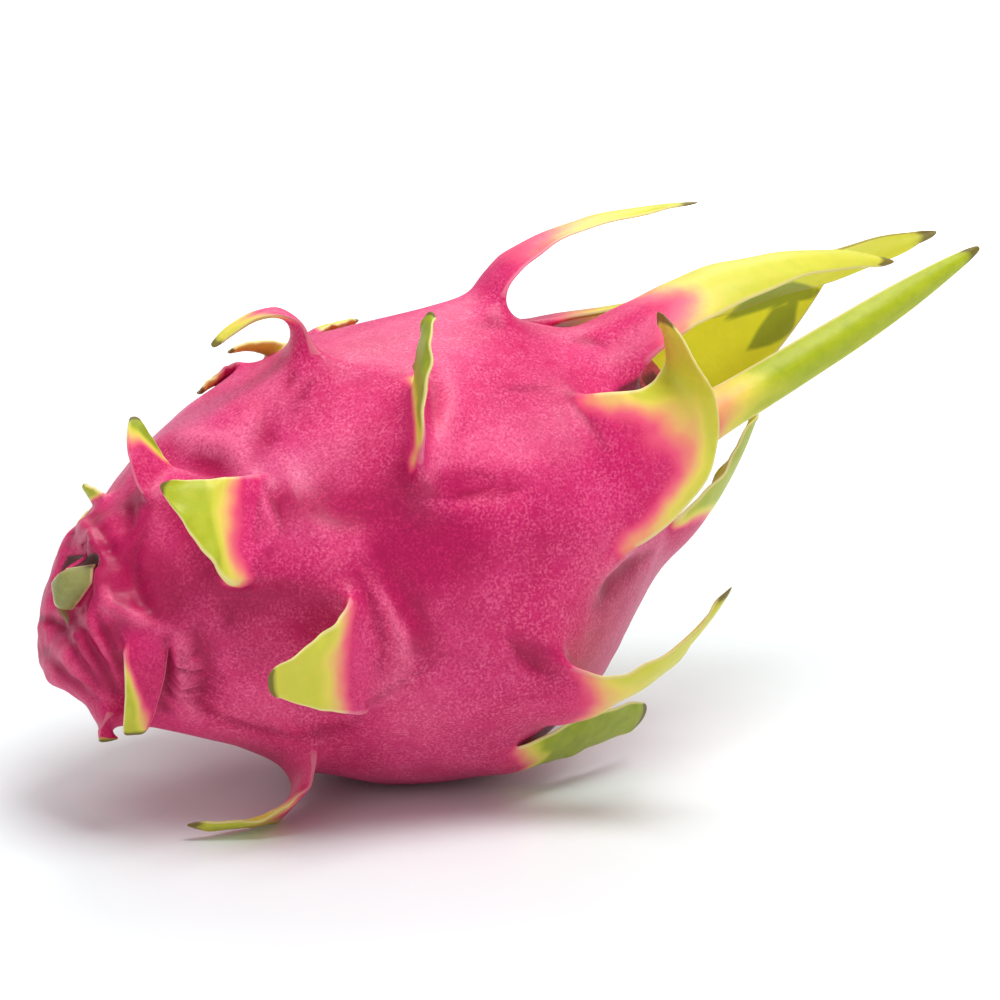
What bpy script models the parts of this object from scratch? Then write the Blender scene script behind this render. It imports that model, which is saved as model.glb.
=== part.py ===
"""A dragon fruit (pitaya) lying on its side: one leathery rind whose leaf-like bracts grow out of it.

The rind is modelled as a coarse cage. A sphere cage is laid along the fruit's own outline, each bract
is extruded from faces of that cage, and one Subdivision Surface rounds the whole, so that the skin runs
up into every bract as it does on the fruit. The origin is the middle of the small flat spot that the
fruit rests on, +X runs from the stem end to the crown, and +Z is up.
"""

import math
from collections import namedtuple

import bmesh
import bpy
from mathutils import Matrix, Vector

MM = 0.001

# The body lies with its crown end raised, and its middle line bends up towards both ends.
CENTRE = Vector((-7.0, 1.2, 40.8)) * MM
TILT = math.radians(10)
STEM_RISE = 7.0
STEM_RISE_LENGTH = 45.0
CROWN_RISE = 12.0
CROWN_RISE_START = 10.0
CROWN_RISE_LENGTH = 56.0
STEM_SHIFT = (6.0, 8.5)
STEM_SHIFT_PARTS = (1.0, 1.0, 1.0, 0.85, 0.5, 0.2)
STEM_LEAN = 0.56
GROUND = -0.3 * MM

# Where the skin bulges by itself: place along, angle round, height, length and width of each swelling.
SWELLINGS = (
    (-53.0, 40.0, 3.5, 6.0, 7.0),
    (-56.0, -80.0, -3.0, 8.0, 16.0),
    (40.0, 102.0, -2.5, 9.0, 14.0),
    (-38.0, -30.0, 2.5, 4.5, 10.0),
    (-14.0, -82.0, 2.6, 20.0, 24.0),
)
SNAP = 0.2 * MM

# The cage: columns round the fruit, and its rings as (place along the fruit, radius) in millimetres.
# The first rings are the dry stub of the stem in its hollow, the last the hollow and the dry flower scar.
COLUMNS = 20
RINGS = (
    (-64.5, 3.2), (-60.0, 3.8), (-58.5, 6.0), (-61.5, 9.0),
    (-61.0, 13.0), (-56.0, 17.0), (-45.5, 22.0), (-35.0, 28.0), (-23.5, 34.6), (-12.0, 39.4),
    (-1.0, 42.4), (9.0, 43.6), (19.0, 43.0), (29.0, 39.8), (38.5, 33.8), (47.5, 26.6),
    (55.5, 19.4), (61.5, 13.6), (64.0, 9.5), (60.0, 5.6), (60.5, 3.6), (67.0, 3.2),
)
STUB_END = -65.0
SCAR_END = 67.5
SUBDIVISIONS = 1
FIRST_ROW = 5
SHARED_CORNER = 2.0

# A bract's rings: how far along the bract each stands. Blades are never thinner than the edge.
RING_PLACES = (0.08, 0.26, 0.50, 0.76, 1.00)
ROOT_DEPTH = 7.0
EDGE_THICKNESS = 0.9

# Every bract: its root's place along the fruit and angle round it (0 faces the front, 90 is up), the
# width of its root, and the points that draw its curve, as (along the fruit, out from it, round it).
# Then how far its root is slewed, how far the blade turns about itself, how quickly it narrows, how thick
# it is, how hollow its face is, the width of its tip, the height of the ridge that the skin makes where
# it runs up into the bract, the cage columns that it takes, and how much wider its root is on the body.
Bract = namedtuple(
    "Bract", "name place angle width points slew turn taper thick hollow tip lift columns flare",
    defaults=(0.0, 0.0, 0.8, 3.6, 1.0, 1.8, 3.0, 2, 1.0),
)

# The long bracts of the crown are thicker and more hollow than the others.
CROWN = {"thick": 4.2, "hollow": 3.0}

BRACTS = (
    Bract("top long", 33, 95, 15, ((3, 7, 0), (16, 13.5, 0), (47.5, 6.5, 0)), taper=0.5),
    Bract("top hook", -8, 84, 9, ((6, 10, 1), (-3, 14, 4), (-14.4, 5.6, 4)), taper=0.8, thick=4.0, tip=3.4,
          flare=1.7),
    Bract("edge on", 3, 49, 26, ((0, 7, 0), (-1, 12, 9), (1, 13.5, 15)), slew=-24),
    Bract("shoulder small", -46, 68, 10, ((-4, 5, 0), (-9, 9, 5)), slew=-60, turn=-10, taper=0.5),
    Bract("stem flap", -31, 32, 25, ((-6, 7, 0), (-17.5, 4, 3)), slew=-34, turn=0, tip=1.2),
    Bract("front flap", -18, -5, 25, ((-6, 6, 0), (-19, 2, 1)), tip=5.0, taper=0.6),
    Bract("front foot", -26, -57, 20, ((-2, 9, 0), (-8, 13, 0), (-25, 5, 0)), flare=1.5),
    Bract("front reach", 15, -26, 19, ((9, 5, -3), (23, 6, 0), (31, 8, 23)), turn=50, taper=0.65, tip=1.6),
    Bract("rear foot", 9, -53, 16, ((8, 0, 3), (20, -1, 2), (33, -2.5, -7)), turn=-30, taper=0.3, tip=6.0,
          flare=1.4),
    Bract("front shoulder", 33, 22, 31, ((14, 2, 0), (31, -4, 9), (13.5, 9, 27)), slew=-8, turn=45,
          taper=0.45, columns=3),
    Bract("crown top", 50, 70, 18, ((14, 3.5, 0), (38, 12, 4), (67, -6, 5)), taper=0.45,
          flare=1.4, **CROWN),
    Bract("crown front", 53, 15, 9.5, ((22, 3, 5), (50, 4, 12), (74, 0, 18)), taper=0.24,
          flare=2.2, **CROWN),
    Bract("crown far", 42, 114, 20, ((22, -9.5, 0), (62, -5, 0), (92, -7, 0)), turn=-40, taper=0.32,
          lift=0.0, **CROWN),
    Bract("crown under", 54, -50, 26, ((8, -2, 4), (17, -9, 8), (25.5, -18, 9.5)), taper=0.45, **CROWN),
    Bract("crown back", 50, 198, 26, ((20, 2, -3), (40, -8, -10), (64, -19, -24)), taper=0.4, **CROWN),
    Bract("stem low", -51, -2, 9, ((-5, 2, 0), (-11, 1, 0), (-18, -2, 0)), slew=75, taper=0.3, thick=4.0,
          tip=5.0),
    Bract("stem under", -51.5, -50, 9, ((-1, 2, 0), (-1, 3.5, 0)), turn=70, taper=0.4, thick=4.0, tip=4.5),
    Bract("stem top", -55, 113, 9, ((-1, 2, 0), (-2, 4, 1)), lift=1.0),
    Bract("back red", -12, 120, 14, ((-3, 0.5, 0), (-8, -2, -1)), tip=3.0, lift=1.0),
    Bract("back hook", -3, 116, 10, ((-4, 3.5, -1), (-10, 2.5, -2)), tip=3.0, lift=0.0),
    Bract("back dark", 4, 120, 14, ((4, 1.5, 0), (11, 1, 0)), tip=2.0, lift=0.0),
    Bract("back stem", -40, 175, 18, ((-3, 4, 0), (-9, 2, 0))),
    Bract("back low", -34, -140, 20, ((-4, 6, 0), (-14, 5, 0))),
    Bract("back middle", -10, -170, 24, ((-5, 7, 0), (-18, 6, 0))),
    Bract("back shoulder", 20, 150, 26, ((12, 5, 0), (34, 8, 0)), taper=0.7, lift=1.0),
    Bract("back reach", 26, 190, 28, ((12, 5, 0), (36, 8, 0)), taper=0.7),
    Bract("back foot", 8, -125, 22, ((8, 5, 0), (30, 9, 0)), taper=0.7),
    Bract("back under", 32, -128, 22, ((10, 4, 0), (30, 6, 0)), taper=0.7),
)

# The fruit's own directions: along it, towards its front and up from it.
ALONG = Vector((math.cos(TILT), 0.0, math.sin(TILT)))
FRONT = Vector((0.0, -1.0, 0.0))
UPWARD = Vector((-math.sin(TILT), 0.0, math.cos(TILT)))


def outward(angle):
    return FRONT * math.cos(angle) + UPWARD * math.sin(angle)


def around(angle):
    return UPWARD * math.cos(angle) - FRONT * math.sin(angle)


def rise(place):
    """How far the bent middle line stands above the straight one, in millimetres."""
    if place < 0:
        t = min(-place / STEM_RISE_LENGTH, 1.0)
        return STEM_RISE * t * t * (3 - 2 * t)
    t = max(place - CROWN_RISE_START, 0.0) / CROWN_RISE_LENGTH
    return CROWN_RISE * t * t


def skin_radius(place):
    """The body's radius between its rings, in millimetres."""
    rings = RINGS[3:-3]
    for (x0, r0), (x1, r1) in zip(rings, rings[1:]):
        if place <= x1:
            return r0 + (r1 - r0) * (place - x0) / (x1 - x0)
    return rings[-1][1]


def skin_point(place, angle, radius, shift=0.0):
    middle = ALONG * place + UPWARD * (rise(place) + shift * STEM_SHIFT[1]) + FRONT * shift * STEM_SHIFT[0]
    height = radius * math.sin(angle) + shift * STEM_SHIFT[1]
    lean = ALONG * STEM_LEAN * height * min(max((-place - 35.0) / 20.0, 0.0), 1.0)
    return CENTRE + (middle + lean + outward(angle) * radius) * MM


def turn_between(angle, other):
    """The signed turn from one angle to another, from -180 to 180 degrees."""
    return (angle - other + 180.0) % 360.0 - 180.0


def block(bract, row, first):
    """The cage corners that a bract's root takes there, as [side][step across it].

    A root that is slewed past the diagonal lies lengthwise, so it takes one column and several rows.
    """
    count = bract.columns
    if bract.slew > 45:
        return [[(row + count - c, (first + side) % COLUMNS) for c in range(count + 1)] for side in (0, 1)]
    if bract.slew < -45:
        return [[(row + c, (first + 1 - side) % COLUMNS) for c in range(count + 1)] for side in (0, 1)]
    return [[(row + side, (first + c) % COLUMNS) for c in range(count + 1)] for side in (0, 1)]


def block_middle(bract, row, first):
    """The place and angle of a block's middle on the cage before it is warped."""
    step = 360.0 / COLUMNS
    if abs(bract.slew) > 45:
        return (RINGS[row][0] + RINGS[row + bract.columns][0]) / 2, (first + 0.5) * step
    return (RINGS[row][0] + RINGS[row + 1][0]) / 2, (first + bract.columns / 2) * step


def choose_blocks():
    """Each bract's row and first column: the nearest to its place of those that are free.

    Two bracts never share a face, and share a corner only where every other place is further off.
    """
    chosen, taken, used = {}, set(), set()
    for bract in BRACTS:
        free = []
        lengthwise = abs(bract.slew) > 45
        tall, wide = (bract.columns, 1) if lengthwise else (1, bract.columns)
        for row in range(FIRST_ROW, len(RINGS) - FIRST_ROW - tall + 1):
            for first in range(COLUMNS):
                cells = {(row + r, (first + c) % COLUMNS) for r in range(tall) for c in range(wide)}
                if cells & taken:
                    continue
                corners = set(sum(block(bract, row, first), []))
                place, angle = block_middle(bract, row, first)
                turned = math.radians(turn_between(angle, bract.angle)) * RINGS[row][1]
                far = math.hypot(place - bract.place, turned) + SHARED_CORNER * len(corners & used)
                free.append((far, row, first, cells, corners))
        _, row, first, cells, corners = min(free, key=lambda option: option[:3])
        chosen[bract.name] = (row, first)
        taken |= cells
        used |= corners
    return chosen


def lay_body(chosen):
    """Where each cage corner lies, as place, angle and radius, drawn towards the bracts near it."""
    step = 360.0 / COLUMNS
    anchors = []
    for bract in BRACTS:
        place, angle = block_middle(bract, *chosen[bract.name])
        shift = (bract.place - place, turn_between(bract.angle, angle))
        anchors.append((place, angle, shift))
    cells = {}
    for j, (place, radius) in enumerate(RINGS):
        for k in range(COLUMNS):
            angle = k * step
            total, along, turned = 3e-6, 0.0, 0.0
            for near_place, near_angle, shift in anchors:
                side = math.radians(turn_between(angle, near_angle)) * max(radius, 15.0)
                far = math.hypot(place - near_place, side)
                weight = 1.0 / (max(far, 4.0) ** 4)
                total += weight
                along += weight * shift[0]
                turned += weight * shift[1]
            moved = place
            if FIRST_ROW <= j < len(RINGS) - FIRST_ROW:
                moved += along / total
            cells[j, k] = [moved, angle + turned / total, radius]
    for bract in BRACTS:
        slew = math.radians(bract.slew)
        for side, corners in enumerate(block(bract, *chosen[bract.name])):
            for c, corner in enumerate(corners):
                along = (side - 0.5) * ROOT_DEPTH
                across = (c / bract.columns - 0.5) * bract.width * bract.flare
                cell = cells[corner]
                cell[0] = bract.place + along * math.cos(slew) - across * math.sin(slew)
                turned = (along * math.sin(slew) + across * math.cos(slew)) / skin_radius(cell[0])
                cell[1] = bract.angle + math.degrees(turned)
    for (j, k), cell in cells.items():
        if FIRST_ROW <= j < len(RINGS) - FIRST_ROW + 1:
            cell[2] = skin_radius(cell[0])
            for place, angle, height, length, width in SWELLINGS:
                side = math.radians(turn_between(cell[1], angle)) * cell[2]
                cell[2] += height * math.exp(-((cell[0] - place) / length) ** 2 - (side / width) ** 2)
            for bract in BRACTS:
                towards = -1.0 if bract.points[-1][0] > 0 else 1.0
                near = cell[0] - (bract.place + towards * 4.0)
                side = math.radians(turn_between(cell[1], bract.angle)) * cell[2]
                cell[2] += bract.lift * math.exp(-(near / 9.0) ** 2 - (side / (bract.width * 0.45)) ** 2)
    return cells


def curve_point(points, t):
    """A point of the curve that the given points draw, by repeated halving between them."""
    row = [Vector(p) for p in points]
    while len(row) > 1:
        row = [a.lerp(b, t) for a, b in zip(row, row[1:])]
    return row[0]


def grow_bract(bm, bract, chosen, table, columns, sides):
    """Extrudes a bract from its faces, ring by ring along its curve."""
    corners = [[table[corner] for corner in row] for row in block(bract, *chosen[bract.name])]
    for side in (0, 1):
        for c, vert in enumerate(corners[side]):
            vert[columns] = c
            vert[sides] = side
    faces = []
    for c in range(bract.columns):
        ring = {corners[0][c], corners[0][c + 1], corners[1][c], corners[1][c + 1]}
        faces += [f for f in corners[0][c].link_faces if set(f.verts) == ring]
    angle = math.radians(bract.angle)
    slewed = Matrix.Rotation(math.radians(bract.slew), 3, outward(angle))
    frame = slewed @ Matrix((ALONG, outward(angle), around(angle))).transposed()
    level = frame @ Vector((0, 0, 1))
    root = skin_point(bract.place, angle, skin_radius(bract.place) + bract.lift * 0.6)
    points = ((0, 0, 0),) + bract.points
    for t in RING_PLACES:
        centre = root + frame @ curve_point(points, t) * MM
        ahead, behind = curve_point(points, min(t + 0.04, 1.0)), curve_point(points, max(t - 0.04, 0.0))
        heading = (frame @ (ahead - behind)).normalized()
        normal = heading.cross(level).normalized()
        across = normal.cross(heading)
        turned = Matrix.Rotation(math.radians(bract.turn) * t, 3, heading)
        normal, across = turned @ normal, turned @ across
        width = max(bract.width * (1 - t) ** bract.taper, bract.tip)
        thick = max(bract.thick * (1 - t) ** 0.7, EDGE_THICKNESS * 1.1)
        grown = bmesh.ops.extrude_face_region(bm, geom=faces)["geom"]
        bmesh.ops.delete(bm, geom=faces, context="FACES")
        faces = [g for g in grown if isinstance(g, bmesh.types.BMFace)]
        ring = {v for f in faces for v in f.verts}
        for vert in ring:
            u = 2 * vert[columns] / bract.columns - 1
            flank = 1 - abs(u)
            half = (EDGE_THICKNESS + (thick - EDGE_THICKNESS) * flank) / 2
            lean = -bract.hollow * width / bract.width * (u * u - 0.5)
            out = half if vert[sides] == 0 else -half
            vert.co = centre + across * (u * width / 2) * MM + normal * (out + lean) * MM
        sunk = min(min(vert.co.z for vert in ring) - GROUND, 0.0)
        for vert in ring:
            vert.co.z -= sunk


def dragon_fruit():
    for obj in list(bpy.data.objects):
        bpy.data.objects.remove(obj)
    bm = bmesh.new()
    columns = bm.verts.layers.int.new("column")
    sides = bm.verts.layers.int.new("side")
    bmesh.ops.create_uvsphere(bm, u_segments=COLUMNS, v_segments=len(RINGS) + 1, radius=1.0)
    chosen = choose_blocks()
    cells = lay_body(chosen)
    table = {}
    poles = sorted((v for v in bm.verts if abs(v.co.z) > 0.9999), key=lambda v: v.co.z)
    for vert in bm.verts:
        if vert in poles:
            continue
        j = round((math.pi - math.acos(vert.co.z)) / math.pi * (len(RINGS) + 1)) - 1
        k = round(math.degrees(math.atan2(vert.co.y, vert.co.x)) / (360.0 / COLUMNS)) % COLUMNS
        table[j, k] = vert
    for key, vert in table.items():
        place, angle, radius = cells[key]
        shift = STEM_SHIFT_PARTS[key[0]] if key[0] < len(STEM_SHIFT_PARTS) else 0.0
        vert.co = skin_point(place, math.radians(angle), radius, shift)
    poles[0].co = skin_point(STUB_END, 0.0, 0.0, 1.0)
    poles[1].co = skin_point(SCAR_END, 0.0, 0.0)
    bm.normal_update()
    bmesh.ops.recalc_face_normals(bm, faces=bm.faces[:])
    for bract in BRACTS:
        grow_bract(bm, bract, chosen, table, columns, sides)
    mesh = bpy.data.meshes.new("dragon_fruit")
    bm.to_mesh(mesh)
    bm.free()
    return bpy.data.objects.new("dragon_fruit", mesh)


def rest_flat(obj):
    """Rounds the cage, then cuts the belly and the low bracts level with the ground."""
    rounding = obj.modifiers.new("rounding", "SUBSURF")
    rounding.levels = SUBDIVISIONS
    rounding.render_levels = SUBDIVISIONS
    bpy.context.view_layer.update()
    rounded = bpy.data.meshes.new_from_object(obj.evaluated_get(bpy.context.evaluated_depsgraph_get()))
    obj.modifiers.remove(rounding)
    bm = bmesh.new()
    bm.from_mesh(rounded)
    everything = bm.verts[:] + bm.edges[:] + bm.faces[:]
    bmesh.ops.bisect_plane(
        bm, geom=everything, dist=SNAP, plane_co=(0, 0, 0), plane_no=(0, 0, 1), use_snap_center=True,
        clear_inner=True,
    )
    rim = [e for e in bm.edges if e.is_boundary]
    bmesh.ops.holes_fill(bm, edges=rim, sides=0)
    bmesh.ops.triangulate(bm, faces=[f for f in bm.faces if len(f.verts) > 4])
    bm.to_mesh(obj.data)
    bm.free()


def main():
    obj = dragon_fruit()
    collection = bpy.data.collections.new("dragon_fruit")
    bpy.context.scene.collection.children.link(collection)
    collection.objects.link(obj)
    rest_flat(obj)
    skin = bpy.data.materials.new("skin")
    skin.use_nodes = True
    skin.node_tree.nodes["Principled BSDF"].inputs["Base Color"].default_value = (0.62, 0.03, 0.18, 1)
    obj.data.materials.append(skin)
    for polygon in obj.data.polygons:
        polygon.use_smooth = True


main()
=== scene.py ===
"""A dragon fruit (pitaya) lying on its side on a pale studio floor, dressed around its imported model."""

import math
from collections import namedtuple

import bmesh
import bpy
import numpy as np
from mathutils import Matrix, Vector, noise


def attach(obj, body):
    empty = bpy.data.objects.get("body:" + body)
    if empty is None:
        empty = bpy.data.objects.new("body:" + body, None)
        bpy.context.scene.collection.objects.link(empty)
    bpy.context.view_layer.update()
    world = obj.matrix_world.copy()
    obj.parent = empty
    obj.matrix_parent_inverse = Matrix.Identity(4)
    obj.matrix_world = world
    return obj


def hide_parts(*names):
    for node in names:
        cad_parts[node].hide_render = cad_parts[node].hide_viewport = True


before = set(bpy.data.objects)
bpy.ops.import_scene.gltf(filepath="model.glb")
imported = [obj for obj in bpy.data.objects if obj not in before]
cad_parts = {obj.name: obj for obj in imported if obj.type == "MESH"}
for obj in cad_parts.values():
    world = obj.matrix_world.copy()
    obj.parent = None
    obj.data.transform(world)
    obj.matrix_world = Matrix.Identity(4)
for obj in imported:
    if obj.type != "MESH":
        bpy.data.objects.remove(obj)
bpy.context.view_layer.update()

# The rind's form
# The whole fruit is one leathery rind that runs up into every bract. It grows as one piece, so it is one
# mesh here: a cage laid along the fruit's outline, from whose faces the bracts are extruded.

MM = 0.001

# The body lies with its crown end raised, and its middle line bends up towards both ends. The stem's stub
# and hollow are shifted forward and up, and the skin there leans over. No bract reaches below GROUND.
CENTRE = Vector((-7.0, 1.2, 40.8)) * MM
TILT = math.radians(10)
STEM_RISE = 7.0
STEM_RISE_LENGTH = 45.0
CROWN_RISE = 12.0
CROWN_RISE_START = 10.0
CROWN_RISE_LENGTH = 56.0
STEM_SHIFT = (6.0, 8.5)
STEM_SHIFT_PARTS = (1.0, 1.0, 1.0, 0.85, 0.5, 0.2)
STEM_LEAN = 0.56
LEAN_START = 35.0
LEAN_LENGTH = 20.0
GROUND = -0.3 * MM

# Where the skin bulges by itself: place along, angle round, height, length and width of each swelling.
SWELLINGS = (
    (-53.0, 40.0, 3.5, 6.0, 7.0),
    (-56.0, -80.0, -3.0, 8.0, 16.0),
    (40.0, 102.0, -2.5, 9.0, 14.0),
    (-38.0, -30.0, 2.5, 4.5, 10.0),
    (-14.0, -82.0, 2.6, 20.0, 24.0),
)
SNAP = 0.05 * MM

# The cage: columns round the fruit, and its rings as (place along the fruit, radius) in millimetres.
# The first rings are the dry stub of the stem in its hollow, the last the hollow and the dry flower scar.
COLUMNS = 20
COLUMN_ANGLE = 360.0 / COLUMNS
RINGS = (
    (-64.5, 3.2), (-60.0, 3.8), (-58.5, 6.0), (-61.5, 9.0),
    (-61.0, 13.0), (-56.0, 17.0), (-45.5, 22.0), (-35.0, 28.0), (-23.5, 34.6), (-12.0, 39.4),
    (-1.0, 42.4), (9.0, 43.6), (19.0, 43.0), (29.0, 39.8), (38.5, 33.8), (47.5, 26.6),
    (55.5, 19.4), (61.5, 13.6), (64.0, 9.5), (60.0, 5.6), (60.5, 3.6), (67.0, 3.2),
)
STUB_END = -65.0
SCAR_END = 67.5
SUBDIVISIONS = 3
FIRST_ROW = 5
SHARED_CORNER = 2.0

# How the cage is drawn towards the bracts: the least distance and radius that count, and the pull that
# holds a corner far from every bract in its place.
DRAWN_DISTANCE = 4.0
DRAWN_RADIUS = 15.0
HOLD = 3e-6

# A bract's rings: how far along the bract each stands. Blades are never thinner than the edge.
RING_PLACES = (0.08, 0.26, 0.50, 0.76, 1.00)
ROOT_DEPTH = 7.0
EDGE_THICKNESS = 0.9
TIP_THICKNESS = EDGE_THICKNESS * 1.1
THINNING = 0.7
HEADING_STEP = 0.04

# The ridge where the skin runs up into a bract: how far ahead of the root it stands, its length, its width
# as a part of the bract's, and how much of it lifts the root.
RIDGE_AHEAD = 4.0
RIDGE_LENGTH = 9.0
RIDGE_WIDTH = 0.45
RIDGE_AT_ROOT = 0.6

# Every bract: its root's place along the fruit and angle round it (0 faces the front, 90 is up), the
# width of its root, and the points that draw its curve, as (along the fruit, out from it, round it).
# Then how far its root is slewed, how far the blade turns about itself, how quickly it narrows, how thick
# it is, how hollow its face is, the width of its tip, the height of the ridge that the skin makes where
# it runs up into the bract, the cage columns that it takes, and how much wider its root is on the body.
Bract = namedtuple(
    "Bract", "name place angle width points slew turn taper thick hollow tip lift columns flare",
    defaults=(0.0, 0.0, 0.8, 3.6, 1.0, 1.8, 3.0, 2, 1.0),
)

# The long bracts of the crown are thicker and more hollow than the others.
CROWN = {"thick": 4.2, "hollow": 3.0}

BRACTS = (
    Bract("top long", 33, 95, 15, ((3, 7, 0), (16, 13.5, 0), (47.5, 6.5, 0)), taper=0.5),
    Bract("top hook", -8, 84, 9, ((6, 10, 1), (-3, 14, 4), (-14.4, 5.6, 4)), taper=0.8, thick=4.0, tip=3.4,
          flare=1.7),
    Bract("edge on", 3, 49, 26, ((0, 7, 0), (-1, 12, 9), (1, 13.5, 15)), slew=-24),
    Bract("shoulder small", -46, 68, 10, ((-4, 5, 0), (-9, 9, 5)), slew=-60, turn=-10, taper=0.5),
    Bract("stem flap", -31, 32, 25, ((-6, 7, 0), (-17.5, 4, 3)), slew=-34, turn=0, tip=1.2),
    Bract("front flap", -18, -5, 25, ((-6, 6, 0), (-19, 2, 1)), tip=5.0, taper=0.6),
    Bract("front foot", -26, -57, 20, ((-2, 9, 0), (-8, 13, 0), (-25, 5, 0)), flare=1.5),
    Bract("front reach", 15, -26, 19, ((9, 5, -3), (23, 6, 0), (31, 8, 23)), turn=50, taper=0.65, tip=1.6),
    Bract("rear foot", 9, -53, 16, ((8, 0, 3), (20, -1, 2), (33, -2.5, -7)), turn=-30, taper=0.3, tip=6.0,
          flare=1.4),
    Bract("front shoulder", 33, 22, 31, ((14, 2, 0), (31, -4, 9), (13.5, 9, 27)), slew=-8, turn=45,
          taper=0.45, columns=3),
    Bract("crown top", 50, 70, 18, ((14, 3.5, 0), (38, 12, 4), (67, -6, 5)), taper=0.45,
          flare=1.4, **CROWN),
    Bract("crown front", 53, 15, 9.5, ((22, 3, 5), (50, 4, 12), (74, 0, 18)), taper=0.24,
          flare=2.2, **CROWN),
    Bract("crown far", 42, 114, 20, ((22, -9.5, 0), (62, -5, 0), (92, -7, 0)), turn=-40, taper=0.32,
          lift=0.0, **CROWN),
    Bract("crown under", 54, -50, 26, ((8, -2, 4), (17, -9, 8), (25.5, -18, 9.5)), taper=0.45, **CROWN),
    Bract("crown back", 50, 198, 26, ((20, 2, -3), (40, -8, -10), (64, -19, -24)), taper=0.4, **CROWN),
    Bract("stem low", -51, -2, 9, ((-5, 2, 0), (-11, 1, 0), (-18, -2, 0)), slew=75, taper=0.3, thick=4.0,
          tip=5.0),
    Bract("stem under", -51.5, -50, 9, ((-1, 2, 0), (-1, 3.5, 0)), turn=70, taper=0.4, thick=4.0, tip=4.5),
    Bract("stem top", -55, 113, 9, ((-1, 2, 0), (-2, 4, 1)), lift=1.0),
    Bract("back red", -12, 120, 14, ((-3, 0.5, 0), (-8, -2, -1)), tip=3.0, lift=1.0),
    Bract("back hook", -3, 116, 10, ((-4, 3.5, -1), (-10, 2.5, -2)), tip=3.0, lift=0.0),
    Bract("back dark", 4, 120, 14, ((4, 1.5, 0), (11, 1, 0)), tip=2.0, lift=0.0),
    Bract("back stem", -40, 175, 18, ((-3, 4, 0), (-9, 2, 0))),
    Bract("back low", -34, -140, 20, ((-4, 6, 0), (-14, 5, 0))),
    Bract("back middle", -10, -170, 24, ((-5, 7, 0), (-18, 6, 0))),
    Bract("back shoulder", 20, 150, 26, ((12, 5, 0), (34, 8, 0)), taper=0.7, lift=1.0),
    Bract("back reach", 26, 190, 28, ((12, 5, 0), (36, 8, 0)), taper=0.7),
    Bract("back foot", 8, -125, 22, ((8, 5, 0), (30, 9, 0)), taper=0.7),
    Bract("back under", 32, -128, 22, ((10, 4, 0), (30, 6, 0)), taper=0.7),
)

# The fruit's own directions: along it, towards its front and up from it.
ALONG = Vector((math.cos(TILT), 0.0, math.sin(TILT)))
FRONT = Vector((0.0, -1.0, 0.0))
UPWARD = Vector((-math.sin(TILT), 0.0, math.cos(TILT)))


def outward(angle):
    """The way straight out of the body at an angle round it."""
    return FRONT * math.cos(angle) + UPWARD * math.sin(angle)


def around(angle):
    """The way round the body at an angle, along its skin."""
    return UPWARD * math.cos(angle) - FRONT * math.sin(angle)


def rise(place):
    """How far the bent middle line stands above the straight one, in millimetres."""
    if place < 0:
        t = min(-place / STEM_RISE_LENGTH, 1.0)
        return STEM_RISE * t * t * (3 - 2 * t)
    t = max(place - CROWN_RISE_START, 0.0) / CROWN_RISE_LENGTH
    return CROWN_RISE * t * t


def skin_radius(place):
    """The body's radius between its rings, in millimetres."""
    rings = RINGS[3:-3]
    for (x0, r0), (x1, r1) in zip(rings, rings[1:]):
        if place <= x1:
            return r0 + (r1 - r0) * (place - x0) / (x1 - x0)
    return rings[-1][1]


def skin_point(place, angle, radius, shift=0.0):
    """The point at a place along the body and an angle round it, that far from its bent middle line."""
    middle = ALONG * place + UPWARD * (rise(place) + shift * STEM_SHIFT[1]) + FRONT * shift * STEM_SHIFT[0]
    height = radius * math.sin(angle) + shift * STEM_SHIFT[1]
    lean = ALONG * STEM_LEAN * height * min(max((-place - LEAN_START) / LEAN_LENGTH, 0.0), 1.0)
    return CENTRE + (middle + lean + outward(angle) * radius) * MM


def turn_between(angle, other):
    """The signed turn from one angle to another, from -180 to 180 degrees."""
    return (angle - other + 180.0) % 360.0 - 180.0


def block(bract, row, first):
    """The cage corners that a bract's root takes there, as [side][step across it].

    A root that is slewed past the diagonal lies lengthwise, so it takes one column and several rows.
    """
    count = bract.columns
    if bract.slew > 45:
        return [[(row + count - c, (first + side) % COLUMNS) for c in range(count + 1)] for side in (0, 1)]
    if bract.slew < -45:
        return [[(row + c, (first + 1 - side) % COLUMNS) for c in range(count + 1)] for side in (0, 1)]
    return [[(row + side, (first + c) % COLUMNS) for c in range(count + 1)] for side in (0, 1)]


def block_middle(bract, row, first):
    """The place and angle of a block's middle on the cage before it is warped."""
    if abs(bract.slew) > 45:
        return (RINGS[row][0] + RINGS[row + bract.columns][0]) / 2, (first + 0.5) * COLUMN_ANGLE
    return (RINGS[row][0] + RINGS[row + 1][0]) / 2, (first + bract.columns / 2) * COLUMN_ANGLE


def choose_blocks():
    """Each bract's row and first column: the nearest to its place of those that are free.

    Two bracts never share a face, and share a corner only where every other place is further off.
    """
    chosen, taken, used = {}, set(), set()
    for bract in BRACTS:
        free = []
        lengthwise = abs(bract.slew) > 45
        tall, wide = (bract.columns, 1) if lengthwise else (1, bract.columns)
        for row in range(FIRST_ROW, len(RINGS) - FIRST_ROW - tall + 1):
            for first in range(COLUMNS):
                cells = {(row + r, (first + c) % COLUMNS) for r in range(tall) for c in range(wide)}
                if cells & taken:
                    continue
                corners = set(sum(block(bract, row, first), []))
                place, angle = block_middle(bract, row, first)
                turned = math.radians(turn_between(angle, bract.angle)) * RINGS[row][1]
                far = math.hypot(place - bract.place, turned) + SHARED_CORNER * len(corners & used)
                free.append((far, row, first, cells, corners))
        _, row, first, cells, corners = min(free, key=lambda option: option[:3])
        chosen[bract.name] = (row, first)
        taken |= cells
        used |= corners
    return chosen


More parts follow.
